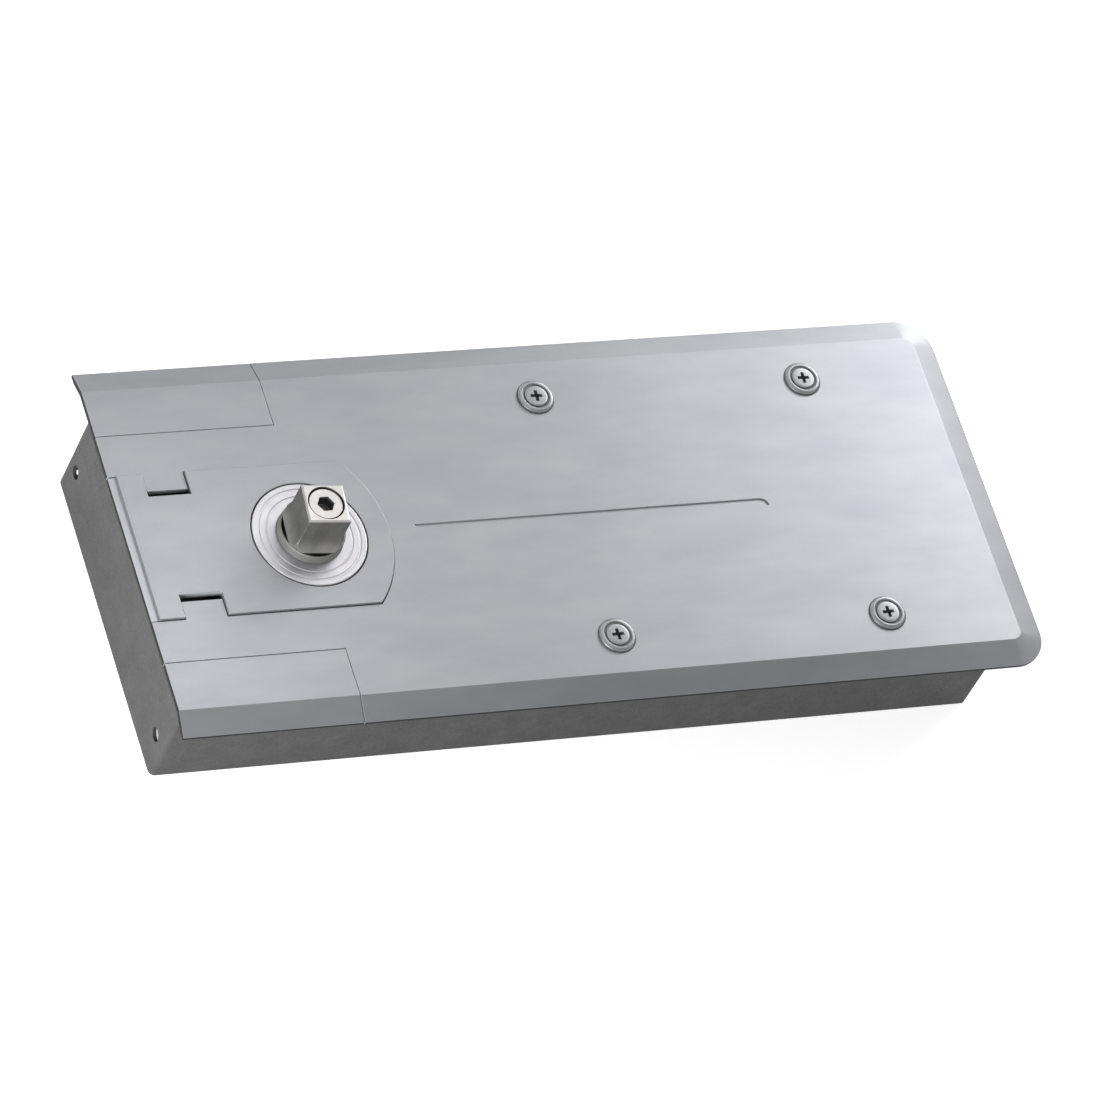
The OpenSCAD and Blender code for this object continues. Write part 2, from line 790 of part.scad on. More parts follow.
// Point of the cam's flank at an angle: the roller centre's path, moved in by the roller's radius
function cam_point(angle) =
    let (reach = cam_base + cam_rate * angle,
         rate = cam_rate * 180 / PI,
         nx = reach * cos(angle) + rate * sin(angle),
         ny = reach * sin(angle) - rate * cos(angle),
         off = (roller_r + cam_gap) / sqrt(nx * nx + ny * ny))
    [reach * cos(angle) - off * nx, reach * sin(angle) - off * ny];

// Heart cam: both rollers stay on it, and the carriage's travel is in proportion to the angle
module heart_cam() {
    step = 3;
    flank = [for (a = [0:step:180]) cam_point(a)];
    z0 = roller_z0 + 0.2;
    color(tool_steel) difference() {
        translate([0, 0, z0]) linear_extrude(roller_h - 0.4)
            for (side = [0, 1]) mirror([0, side]) intersection() {
                polygon(concat([[0, 0], [flank[0][0], 0]], flank));
                translate([-2 * tip_r, 0]) square([4 * tip_r, 2 * tip_r]);
            }
        translate([cam_base, 0]) disc(roller_r + cam_gap, z0 - cut, roller_z1 + cut);
        disc(shaft_r, z0 - cut, roller_z1 + cut);
        keyway(0, shaft_r + key_h);
    }
}

module cam_key() {
    color(tool_steel) keyway(shaft_r - key_h, shaft_r + key_h);
}

// Carriage plate with a slot that clears the spindle over the whole travel
module carriage_plate(z0, slot_r) {
    difference() {
        union() {
            block([return_x, -plate_half_w, z0], [yoke_x1, plate_half_w, z0 + plate_t]);
            translate([return_x, 0]) disc(roller_r - 1, z0, z0 + plate_t);
        }
        block([-travel, -slot_r, z0 - cut], [0, slot_r, z0 + plate_t + cut]);
        for (x = [-travel, 0]) translate([x, 0]) disc(slot_r, z0 - cut, z0 + plate_t + cut);
        for (x = [return_x, cam_base]) translate([x, 0]) disc(pin_r, z0 - cut, z0 + plate_t + cut);
        yoke_pin_set(z0 - cut, z0 + plate_t + cut);
    }
}

module yoke_pin_set(z0, z1) {
    for (y = [-1, 1] * plate_half_w * 0.6) translate([(yoke_x0 + yoke_x1) / 2, y])
        disc(yoke_pin_r, z0, z1);
}

module lower_carriage_plate() {
    color(tool_steel) carriage_plate(plate_low_z, foot_journal_r + pass_gap);
}

module upper_carriage_plate() {
    color(tool_steel) carriage_plate(plate_high_z, shaft_r + pass_gap);
}

module carriage_yoke() {
    color(tool_steel) difference() {
        block([yoke_x0, -plate_half_w, plate_low_z + plate_t], [yoke_x1, plate_half_w, plate_high_z]);
        bar(thread_r, yoke_x0 + 1.5, yoke_x1 + cut);
        yoke_pin_set(plate_low_z, plate_high_z + cut);
    }
}

module yoke_pins() {
    color(plated_steel) yoke_pin_set(plate_low_z, plate_high_z + plate_t);
}

module roller_pins() {
    color(plated_steel) for (x = [return_x, cam_base])
        translate([x, 0]) disc(pin_r, plate_low_z, plate_high_z + plate_t);
}

module roller(x) {
    color(tool_steel) translate([x, 0]) difference() {
        disc(roller_r, roller_z0, roller_z1);
        disc(pin_r + run_gap, roller_z0 - cut, roller_z1 + cut);
    }
}

module drive_roller() {
    roller(cam_base);
}

module return_roller() {
    roller(return_x);
}

module piston_rod() {
    color(tool_steel) {
        bar(thread_r, yoke_x0 + 1.5, yoke_x1);
        bar(rod_r, yoke_x1, piston_x0);
        bar(thread_r, piston_x0, piston_x1 - 4);
    }
}

// Place of the check valve's ball in the piston
module check_bore(r, x0, x1) {
    translate([0, 0, bore_r * 0.62]) bar(r, x0, x1);
}

module piston() {
    ball_seat_x = piston_x0 + piston_l * 0.35;
    color(casting) difference() {
        bar(bore_r - run_gap, piston_x0, piston_x1);
        bar(thread_r, piston_x0 - cut, piston_x1 - 4);
        check_bore(1.6, piston_x0 - cut, piston_x1 + cut);
        check_bore(2.7, ball_seat_x, ball_seat_x + 8);
        difference() {
            bar(bore_r + cut, piston_x1 - 7, piston_x1 - 4);
            bar(bore_r - 2.2, piston_x1 - 8, piston_x1 - 3);
        }
    }
}

module piston_seal() {
    color(seal_black) difference() {
        bar(bore_r - run_gap, piston_x1 - 7, piston_x1 - 4);
        bar(bore_r - 2.2, piston_x1 - 8, piston_x1 - 3);
    }
}

module check_ball() {
    color(plated_steel) translate([piston_x0 + piston_l * 0.35 + 3, 0, axis_z + bore_r * 0.62])
        sphere(r = 2.5);
}

// Power spring: one wire swept along a coil whose end turns lie close
module power_spring() {
    sides = 6;
    rings_per_turn = 12;
    end_pitch = 2 * spring_wire_r + 0.6;
    seat_gap = 0.3;
    mid_pitch = (spring_l - 2 * seat_gap - 2 * spring_wire_r - 2 * end_pitch) / (spring_turns - 2);
    coil_r = bore_r - spring_wire_r - 0.5;
    steps = spring_turns * rings_per_turn;
    function coil_x(t) = end_pitch * (min(t, 1) + max(0, t - spring_turns + 1))
        + mid_pitch * max(0, min(t, spring_turns - 1) - 1);
    function ring_point(i, j) =
        let (t = i / rings_per_turn, turn = 360 * t, around = 360 * j / sides,
             r = coil_r + spring_wire_r * cos(around))
        [piston_x1 + seat_gap + spring_wire_r + coil_x(t) + spring_wire_r * sin(around),
         r * cos(turn), axis_z + r * sin(turn)];
    points = [for (i = [0:steps], j = [0:sides - 1]) ring_point(i, j)];
    skin = [for (i = [0:steps - 1], j = [0:sides - 1])
        let (a = i * sides + j, b = i * sides + (j + 1) % sides, c = a + sides, d = b + sides)
        for (face = [[a, b, c], [b, d, c]]) face];
    start_cap = [for (j = [1:sides - 2]) [0, j + 1, j]];
    end_cap = [for (j = [1:sides - 2]) [steps * sides, steps * sides + j, steps * sides + j + 1]];
    color(tool_steel) polyhedron(points, concat(skin, start_cap, end_cap));
}

// Spring seat on its adjusting screw, turned through the end plug with a hexagon key
module spring_adjuster() {
    hex_r = 2.9;
    color(tool_steel) difference() {
        union() {
            bar(bore_r - 0.3, seat_x0, seat_x0 + seat_t);
            bar(rod_r - run_gap, seat_x0 + seat_t, plug_x1 + 3);
        }
        translate([plug_x1 - 2, 0, axis_z]) rotate([0, 90, 0])
            cylinder(r = hex_r, h = 5 + cut, $fn = 6);
    }
}

module end_plug() {
    color(casting) difference() {
        bar(bore_r, plug_x0, plug_x1);
        bar(rod_r, plug_x0 - cut, plug_x1 + cut);
        difference() {
            bar(bore_r + cut, plug_x0 + 3, plug_x0 + 6);
            bar(bore_r - 2, plug_x0 + 2, plug_x0 + 7);
        }
    }
}

module plug_seal() {
    color(seal_black) difference() {
        bar(bore_r, plug_x0 + 3, plug_x0 + 6);
        bar(bore_r - 2, plug_x0 + 2, plug_x0 + 7);
    }
}

// Speed valve: a slotted needle screw with a groove for its seal
module speed_valve(x) {
    slot_w = 1.2;
    stem_z0 = valve_top_z - valve_stem_l;
    color(plated_steel) translate([x, valve_y]) difference() {
        union() {
            disc(valve_r, stem_z0, valve_top_z - pass_gap);
            translate([0, 0, valve_top_z - valve_l + pass_gap])
                cylinder(r1 = 1, r2 = valve_r - 1, h = valve_l - valve_stem_l - pass_gap);
        }
        block([-valve_r - cut, -slot_w / 2, valve_top_z - 2.5], [valve_r + cut, slot_w / 2, valve_top_z]);
        difference() {
            disc(valve_r + cut, valve_top_z - 8, valve_top_z - 6);
            disc(valve_r - 1.2, valve_top_z - 8 - cut, valve_top_z - 6 + cut);
        }
    }
}

module closing_speed_valve() {
    speed_valve(closing_valve_x);
}

module latching_valve() {
    speed_valve(latching_valve_x);
}

module valve_seal(x) {
    color(seal_black) translate([x, valve_y]) difference() {
        disc(valve_r, valve_top_z - 8, valve_top_z - 6);
        disc(valve_r - 1.2, valve_top_z - 8 - cut, valve_top_z - 6 + cut);
    }
}

module closing_valve_seal() {
    valve_seal(closing_valve_x);
}

module latching_valve_seal() {
    valve_seal(latching_valve_x);
}

cover_plate();
spindle_access_plate();
corner_plate_back();
corner_plate_front();
backing_frame();
cup_washers();
cover_screws();
cover_lugs();
lug_nuts();
cement_box();
floor_bosses();
closer_body();
lid_gasket();
body_lid();
lid_screws();
levelling_screws();
hold_down_screws();
upper_bearing();
lower_bearing();
spindle_seal();
spindle();
spindle_ring();
spindle_insert();
spindle_screw();
heart_cam();
cam_key();
lower_carriage_plate();
upper_carriage_plate();
carriage_yoke();
yoke_pins();
roller_pins();
drive_roller();
return_roller();
piston_rod();
piston();
piston_seal();
check_ball();
power_spring();
spring_adjuster();
end_plug();
plug_seal();
closing_speed_valve();
closing_valve_seal();
latching_valve();
latching_valve_seal();
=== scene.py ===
import json
import math

import bmesh
import bpy
from mathutils import Matrix, Vector


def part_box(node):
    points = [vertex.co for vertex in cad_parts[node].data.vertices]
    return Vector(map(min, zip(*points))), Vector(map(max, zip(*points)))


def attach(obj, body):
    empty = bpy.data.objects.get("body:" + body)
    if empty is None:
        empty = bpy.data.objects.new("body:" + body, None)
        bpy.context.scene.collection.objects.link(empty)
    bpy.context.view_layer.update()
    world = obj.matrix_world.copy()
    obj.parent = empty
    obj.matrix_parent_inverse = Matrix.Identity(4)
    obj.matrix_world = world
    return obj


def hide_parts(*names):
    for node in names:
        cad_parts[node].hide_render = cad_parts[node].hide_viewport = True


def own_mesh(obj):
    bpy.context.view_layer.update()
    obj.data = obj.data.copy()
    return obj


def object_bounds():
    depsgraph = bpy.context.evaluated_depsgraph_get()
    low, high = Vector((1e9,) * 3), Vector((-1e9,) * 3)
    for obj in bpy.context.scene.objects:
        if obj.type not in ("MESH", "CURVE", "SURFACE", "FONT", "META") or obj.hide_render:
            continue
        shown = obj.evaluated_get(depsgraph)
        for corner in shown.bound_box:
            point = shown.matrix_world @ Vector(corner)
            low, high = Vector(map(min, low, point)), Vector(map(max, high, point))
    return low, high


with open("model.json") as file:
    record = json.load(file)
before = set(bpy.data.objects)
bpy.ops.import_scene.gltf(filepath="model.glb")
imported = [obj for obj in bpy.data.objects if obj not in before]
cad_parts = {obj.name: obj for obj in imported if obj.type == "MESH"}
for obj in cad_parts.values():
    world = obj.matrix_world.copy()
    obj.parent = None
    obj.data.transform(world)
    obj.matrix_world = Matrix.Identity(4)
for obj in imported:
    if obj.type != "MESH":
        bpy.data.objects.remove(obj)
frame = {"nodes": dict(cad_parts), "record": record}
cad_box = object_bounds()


# Camera: a long lens well above the front left corner, solved from the edges of the cover and of
# the box. Its axes are the picture's right, its up and the direction back towards the camera.
def stand(name, data):
    """Puts a new object in the scene, at the origin."""
    thing = bpy.data.objects.new(name, data)
    bpy.context.scene.collection.objects.link(thing)
    return thing


lens = bpy.data.cameras.new("camera")
lens.lens = 236.34
lens.sensor_width = 36
camera = stand("camera", lens)
camera.matrix_world = Matrix((
    (0.90511869, 0.07007567, -0.41934419, -1.04141),
    (-0.28366078, 0.83423563, -0.47285037, -1.29445),
    (0.31669656, 0.54693721, 0.77495998, 2.09846),
    (0, 0, 0, 1)))
bpy.context.scene.camera = camera
bpy.context.scene.view_settings.view_transform = "Standard"


# Studio: a white floor and white surroundings, two soft lamps far off past the right end and two
# weaker ones behind, a low one at the left and a small one over the spindle. The near bevel mirrors
# a pale card overhead and the end bevel a grey one past the right end, so that both are darker.
def colour(text):
    """An sRGB hex colour as linear red, green, blue and alpha."""
    parts = [int(text[i:i + 2], 16) / 255 for i in (1, 3, 5)]
    return [c / 12.92 if c <= 0.04045 else ((c + 0.055) / 1.055) ** 2.4 for c in parts] + [1]


def add(tree, kind, inputs=(), **settings):
    """Adds a node with its settings. Each input is given a value, or the output that feeds it."""
    node = tree.nodes.new(kind)
    for key, value in settings.items():
        setattr(node, key, value)
    for socket, value in dict(inputs).items():
        if isinstance(value, bpy.types.NodeSocket):
            tree.links.new(value, node.inputs[socket])
        else:
            node.inputs[socket].default_value = value
    return node


def seen_directly(tree):
    """1 for what the camera, a reflection or glass sees, 0 for the light that falls on things."""
    path = add(tree, "ShaderNodeLightPath").outputs
    shiny = add(tree, "ShaderNodeMath", {0: path["Is Camera Ray"], 1: path["Is Glossy Ray"]},
                operation="MAXIMUM")
    return add(tree, "ShaderNodeMath", {0: shiny.outputs[0], 1: path["Is Transmission Ray"]},
               operation="MAXIMUM").outputs[0]


world = bpy.data.worlds.new("white surroundings")
bpy.context.scene.world = world
world.use_nodes = True
sky = world.node_tree
sky.nodes.clear()
ambient = add(sky, "ShaderNodeBackground", {"Color": colour("#FFFFFF"), "Strength": 0.42})
white = add(sky, "ShaderNodeBackground", {"Color": colour("#FFFFFF"), "Strength": 1})
mixed = add(sky, "ShaderNodeMixShader", {0: seen_directly(sky), 1: ambient.outputs[0],
                                         2: white.outputs[0]})
add(sky, "ShaderNodeOutputWorld", {0: mixed.outputs[0]})

# Seamless white paper, matt: it takes the object's shadow, and its glow keeps the rest white
paper_glow = 0.62
paper = bpy.data.materials.new("white paper sweep")
paper.use_nodes = True
sweep = paper.node_tree
sweep.nodes.clear()
sheet = add(sweep, "ShaderNodeBsdfDiffuse", {"Color": colour("#E4E4E4")})
bright = add(sweep, "ShaderNodeMath", {0: seen_directly(sweep), 1: paper_glow},
             operation="MULTIPLY")
glow = add(sweep, "ShaderNodeEmission", {"Color": colour("#FFFFFF"), "Strength": bright.outputs[0]})
both = add(sweep, "ShaderNodeAddShader", {0: sheet.outputs[0], 1: glow.outputs[0]})
add(sweep, "ShaderNodeOutputMaterial", {0: both.outputs[0]})

reach = 6
floor_z = cad_box[0][2]
floor_mesh = bpy.data.meshes.new("floor")
floor_mesh.from_pydata([(-reach, -reach, floor_z), (reach, -reach, floor_z),
                        (reach, reach, floor_z), (-reach, reach, floor_z)], [], [(0, 1, 2, 3)])
floor_mesh.materials.append(paper)
floor = stand("floor", floor_mesh)


def lamp(name, place, aim, size, power):
    """A square soft lamp that faces a point."""
    data = bpy.data.lights.new(name, "AREA")
    data.size = size
    data.energy = power
    stand(name, data).matrix_world = Matrix.LocRotScale(
        Vector(place), (Vector(aim) - Vector(place)).to_track_quat("-Z", "Y"), None)


lamp("far end lamp", (0.95, 0.45, 0.55), (0.28, 0, 0), size=0.3, power=3.3)
lamp("far back lamp", (0.90, 0.72, 0.50), (0.28, 0, 0), size=0.3, power=4.6)
lamp("back lamp", (0.85, 1.00, 0.35), (0.25, 0.05, 0), size=0.4, power=0.7)
lamp("back left lamp", (0.02, 0.92, 0.36), (0.16, 0, 0), size=0.2, power=0.7)
lamp("near lamp", (0.05, 0.13, 0.34), (-0.09, -0.05, 0), size=0.14, power=0.19)
lamp("left lamp", (-0.52, -0.37, 0.06), (-0.07, -0.03, -0.03), size=0.3, power=9)


def card(name, corners, tone):
    """A matt card for a bevel to mirror, which no view shows directly."""
    mesh = bpy.data.meshes.new(name)
    mesh.from_pydata(corners, [], [(0, 1, 2, 3)])
    felt = bpy.data.materials.new(name)
    felt.use_nodes = True
    inputs = felt.node_tree.nodes["Principled BSDF"].inputs
    inputs["Base Color"].default_value = colour(tone)
    inputs["Roughness"].default_value = 0.9
    mesh.materials.append(felt)
    thing = stand(name, mesh)
    thing.visible_camera = False


card("pale card", [(0.20, -0.30, 0.46), (0.50, -0.30, 0.46), (0.50, 0.02, 0.46), (0.20, 0.02, 0.46)],
     "#A8A8A8")
card("grey card", [(0.86, -0.12, 0.02), (0.67, 0.32, 0.02), (0.67, 0.32, 0.28), (0.86, -0.12, 0.28)],
     "#949494")


# Cement box: folded from 2 mm sheet steel, the corners bent round and the end wall's two holes
# punched. The floor bosses and the angle lugs are welded into it, and the frame that carries the
# small plates is welded under the cover. All of it stands in the floor, so its coat is plain.
def finish(name, dark, light, cloud_mm, grain_mm, roughness, bump_mm, metallic=1, stretch=(1, 1, 1)):
    """A worn metal or moulded finish: cloudy colour, a finer grain in its gloss, and a low relief.

    The real grain is about a tenth of a millimetre or less, and is drawn as coarse as it shows.
    """
    material = bpy.data.materials.new(name)
    material.use_nodes = True
    tree = material.node_tree
    shader = tree.nodes["Principled BSDF"]
    shader.inputs["Metallic"].default_value = metallic
    place = add(tree, "ShaderNodeTexCoord")
    drawn = add(tree, "ShaderNodeMapping", {"Vector": place.outputs["Object"],
                                            "Scale": [1 / s for s in stretch]})
    cloud = add(tree, "ShaderNodeTexNoise", {"Vector": drawn.outputs[0], "Scale": 1000 / cloud_mm,
                                             "Detail": 4, "Roughness": 0.6})
    tone = add(tree, "ShaderNodeMapRange", {"Value": cloud.outputs[0], "From Min": 0.3,
                                            "From Max": 0.7})
    # In a mix of colours, input 0 is the share, 6 and 7 are the colours and output 2 is the result
    blend = add(tree, "ShaderNodeMix", {0: tone.outputs[0], 6: colour(dark), 7: colour(light)},
                data_type="RGBA")
    tree.links.new(blend.outputs[2], shader.inputs["Base Color"])
    grain = add(tree, "ShaderNodeTexNoise", {"Vector": drawn.outputs[0], "Scale": 1000 / grain_mm,
                                             "Detail": 3})
    gloss = add(tree, "ShaderNodeMapRange", {"Value": grain.outputs[0], "From Min": 0.3,
                "From Max": 0.7, "To Min": roughness[0], "To Max": roughness[1]})
    tree.links.new(gloss.outputs[0], shader.inputs["Roughness"])
    relief = add(tree, "ShaderNodeBump", {"Height": grain.outputs[0], "Strength": 1,
                                          "Distance": bump_mm / 1000})
    tree.links.new(relief.outputs[0], shader.inputs["Normal"])
    return material


def settle(piece):
    """Makes what the piece's modifiers draw its plain mesh."""
    shape = bpy.data.meshes.new_from_object(
        piece.evaluated_get(bpy.context.evaluated_depsgraph_get()))
    piece.modifiers.clear()
    piece.data = shape


def dress(piece, node):
    """The piece stands for its node and moves with the node's body, and the node is hidden."""
    record = frame["record"]
    body = next(b for b, held in record["behaviour"]["bodies"].items() if node in held)
    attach(piece, body)
    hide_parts(node)


def rounded(node, material, width_mm, edge=None):
    """The CAD node's shape with its sharp edges rounded, in a finish, riding where the node rides."""
    sharp_from = math.radians(14)
    level_within = math.radians(0.4)
    mesh = frame["nodes"][node].data.copy()
    work = bmesh.new()
    work.from_mesh(mesh)
    bmesh.ops.remove_doubles(work, verts=work.verts, dist=2e-6)
    bmesh.ops.dissolve_limit(work, angle_limit=level_within, verts=work.verts, edges=work.edges)
    work.to_mesh(mesh)
    work.free()
    piece = stand(node + "_dressed", mesh)
    mesh.materials.clear()
    mesh.materials.append(material)
    mesh.materials.append(edge or material)
    for face in mesh.polygons:
        face.use_smooth = True
    bevel = piece.modifiers.new("rounded edges", "BEVEL")
    bevel.width = width_mm / 1000
    bevel.segments = 2
    bevel.limit_method = "ANGLE"
    bevel.angle_limit = sharp_from
    bevel.material = 1
    flat = piece.modifiers.new("flat faces stay flat", "WEIGHTED_NORMAL")
    flat.weight = 100
    settle(piece)
    dress(piece, node)
    return piece


def coat(material, *nodes):
    """Gives a finish to pieces that keep their CAD meshes."""
    for node in nodes:
        materials = frame["nodes"][node].data.materials
        materials.clear()
        materials.append(material)


# Zinc-coated mild steel sheet, as rolled: the coat is dull, dark grey and faintly cloudy
zinc_sheet = finish("zinc coated sheet", "#373737", "#424242", cloud_mm=9, grain_mm=0.8,
                    roughness=(0.5, 0.66), bump_mm=0.02, metallic=0.35)
rounded("cement_box", zinc_sheet, width_mm=0.5)
coat(zinc_sheet, "floor_bosses", "cover_lugs", "backing_frame")


# Closer body, lid, piston and end plug: grey iron castings with machined faces. The lid closes the
# cam's chamber on a gasket, and the end plug closes the cylinder that the piston slides in.
# Cast iron under thin grey primer: matt, with the grit of the sand mould showing through
painted_iron = finish("primed cast iron", "#5F6264", "#6F7274", cloud_mm=14, grain_mm=1.1,
                      roughness=(0.5, 0.7), bump_mm=0.08, metallic=0.2)
coat(painted_iron, "closer_body", "body_lid", "piston", "end_plug")


# Cam, key, rollers, carriage, rod and adjuster: hardened steel, ground where it runs, in the oil of
# the cam's chamber and of the cylinder. The lid's screws are of the same steel.
# Oiled ground steel: smooth and mid grey, with faint streaks along the grinding
ground_steel = finish("oiled ground steel", "#8C8F91", "#A2A5A7", cloud_mm=6, grain_mm=0.5,
                      roughness=(0.2, 0.34), bump_mm=0.01, stretch=(6, 1, 1))
coat(ground_steel, "heart_cam", "cam_key", "lower_carriage_plate", "upper_carriage_plate",
     "carriage_yoke", "drive_roller", "return_roller", "piston_rod", "spring_adjuster", "lid_screws")


# Bearings: two sintered bronze bushes, pressed into the body and into its lid, in which the
# spindle turns.
# Sintered bronze: dull brown gold with fine pores
sintered_bronze = finish("sintered bronze", "#9A7740", "#B4904F", cloud_mm=3, grain_mm=0.4,
                         roughness=(0.36, 0.5), bump_mm=0.02)
coat(sintered_bronze, "upper_bearing", "lower_bearing")


# Seals and gasket: moulded rings round the spindle, the piston, the plug and the two valves, and
# the gasket under the lid, which keep the oil in.
# Moulded nitrile rubber: black with a dull bloom
nitrile = finish("moulded nitrile rubber", "#1F1F1F", "#2B2B2B", cloud_mm=4, grain_mm=0.6,
                 roughness=(0.5, 0.66), bump_mm=0.02, metallic=0)
coat(nitrile, "lid_gasket", "spindle_seal", "piston_seal", "plug_seal", "closing_valve_seal",
     "latching_valve_seal")


# Small fasteners, pins and valve screws: turned or headed steel, plated before they are fitted.
# Bright zinc plating: pale and shiny, with a faint grain from the bath
bright_zinc = finish("bright zinc plating", "#ABAEB0", "#B8BBBD", cloud_mm=5, grain_mm=0.5,
                     roughness=(0.24, 0.36), bump_mm=0.01)
coat(bright_zinc, "lug_nuts", "levelling_screws", "hold_down_screws", "yoke_pins", "roller_pins",
     "check_ball", "closing_speed_valve", "latching_valve")


# Power spring: one oil-tempered wire, coiled cold with its end turns lying close. It is shorter when
# the door is open.
wire_r = 0.0023
wire_sides = 12
end_gap = 0.0006
spring_turns = 14
rings_a_turn = 28
steps = spring_turns * rings_a_turn
spring_low, spring_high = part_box("power_spring")
spring_r = (spring_high[2] - spring_low[2]) / 2 - wire_r
spring_seat = (0.2225, 0, (spring_low[2] + spring_high[2]) / 2)
coil = bpy.data.node_groups.new("power spring coil", "GeometryNodeTree")
for name, kind, value in (("Start", "NodeSocketFloat", spring_low[0] + wire_r),
                          ("End", "NodeSocketFloat", spring_high[0] - wire_r),
                          ("Coil radius", "NodeSocketFloat", spring_r),
                          ("Wire radius", "NodeSocketFloat", wire_r),
                          ("End pitch", "NodeSocketFloat", 2 * wire_r + end_gap),
                          ("Turns", "NodeSocketFloat", spring_turns),
                          ("Height", "NodeSocketFloat", spring_seat[2]),
                          ("Material", "NodeSocketMaterial", ground_steel)):
    coil.interface.new_socket(name, in_out="INPUT", socket_type=kind).default_value = value
coil.interface.new_socket("Geometry", in_out="OUTPUT", socket_type="NodeSocketGeometry")
sizes = add(coil, "NodeGroupInput").outputs
line = add(coil, "GeometryNodeMeshLine", {"Count": steps + 1})
index = add(coil, "GeometryNodeInputIndex")

# Each point of the wire: how many turns it is along, how far that is along the axis with the first
# and the last turn close and the rest at an even pitch, and its place round the axis
known = dict(sizes.items())
known["index"] = index.outputs[0]
for result, operation, *terms in (
        ("share", "DIVIDE", "index", steps),
        ("turn", "MULTIPLY", "share", "Turns"),
        ("first turn", "MINIMUM", "turn", 1),
        ("before last", "SUBTRACT", "Turns", 1),
        ("past it", "SUBTRACT", "turn", "before last"),
        ("last turn", "MAXIMUM", "past it", 0),
        ("up to it", "MINIMUM", "turn", "before last"),
        ("less the first", "SUBTRACT", "up to it", 1),
        ("middle turns", "MAXIMUM", "less the first", 0),
        ("length", "SUBTRACT", "End", "Start"),
        ("closed length", "MULTIPLY", "End pitch", 2),
        ("open length", "SUBTRACT", "length", "closed length"),
        ("open turns", "SUBTRACT", "Turns", 2),
        ("pitch", "DIVIDE", "open length", "open turns"),
        ("end turns", "ADD", "first turn", "last turn"),
        ("by the ends", "MULTIPLY_ADD", "end turns", "End pitch", "Start"),
        ("along", "MULTIPLY_ADD", "middle turns", "pitch", "by the ends"),
        ("angle", "MULTIPLY", "turn", 2 * math.pi),
        ("cosine", "COSINE", "angle"),
        ("sine", "SINE", "angle"),
        ("across", "MULTIPLY", "cosine", "Coil radius"),
        ("up", "MULTIPLY_ADD", "sine", "Coil radius", "Height")):
    inputs = {i: known.get(term, term) for i, term in enumerate(terms)}
    known[result] = add(coil, "ShaderNodeMath", inputs, operation=operation).outputs[0]

point = add(coil, "ShaderNodeCombineXYZ", {0: known["along"], 1: known["across"], 2: known["up"]})
wound = add(coil, "GeometryNodeSetPosition", {"Geometry": line.outputs[0],
                                              "Position": point.outputs[0]})
middle_line = add(coil, "GeometryNodeMeshToCurve", {0: wound.outputs[0]})
round_wire = add(coil, "GeometryNodeCurvePrimitiveCircle", {"Resolution": wire_sides,
                                                            "Radius": sizes["Wire radius"]})
wire = add(coil, "GeometryNodeCurveToMesh", {"Curve": middle_line.outputs[0], "Fill Caps": True,
                                             "Profile Curve": round_wire.outputs[0]})
smooth = add(coil, "GeometryNodeSetShadeSmooth", {0: wire.outputs[0]})
real = add(coil, "GeometryNodeRealizeInstances", {0: smooth.outputs[0]})
oiled = add(coil, "GeometryNodeSetMaterial", {0: real.outputs[0], "Material": sizes["Material"]})
add(coil, "NodeGroupOutput", {0: oiled.outputs[0]})
spring = stand("power_spring_wound", bpy.data.meshes.new("power spring"))
spring.modifiers.new("coil", "NODES").node_group = coil
settle(spring)
dress(spring, "power_spring")
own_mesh(spring)


# Cover, corner plates and access plate: 2.2 mm stainless sheet, pressed down at three edges. The
# cover is screwed to the box's lugs, and the three small plates lie on the frame beside it. The
# access plate stands 0.9 mm proud, and has a lowered lip at its cut end.
on_flat, on_joint, on_rim, on_painted_shade, on_lip = range(5)
flat_from = 0.6
end_facing = -0.3
rim_w = 0.0005
rim_r = 0.014
shade_beyond_y = 0.026
lip_near, lip_far, lip_y = 0.001, 0.007, 0.03
lip_depth = 0.001
low_x, low_y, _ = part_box("corner_plate_front")[0]
high_x, high_y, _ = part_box("cover_plate")[1]

# Stainless sheet, ground: an even pale satin, faintly cloudy where it has been handled
satin = finish("satin stainless sheet", "#838589", "#8B8D90", cloud_mm=16, grain_mm=0.35,
               roughness=(0.34, 0.44), bump_mm=0.004, stretch=(3, 1, 1))
# Joints' cut faces, ground dull and painted light grey: painted light, so a shaded joint is a fine grey
# line
riser = finish("dull ground riser with painted light", "#929598", "#9EA1A4", cloud_mm=3, grain_mm=0.3,
               roughness=(0.5, 0.65), bump_mm=0.02, metallic=0)
# The outer edge, sheared: painted nearly black, a painted shade for the shadow line under the rim
painted_shade_edge = finish("painted shade on the sheared edge", "#1A1B1C", "#232425", cloud_mm=3, grain_mm=0.3,
                 roughness=(0.45, 0.6), bump_mm=0.02)
# The access plate's front, back and lip faces: a painted shade that makes a darker line
shaded = finish("painted shade on the risers", "#5B5E61", "#686B6E", cloud_mm=3, grain_mm=0.3,
                roughness=(0.5, 0.65), bump_mm=0.02, metallic=0.2)
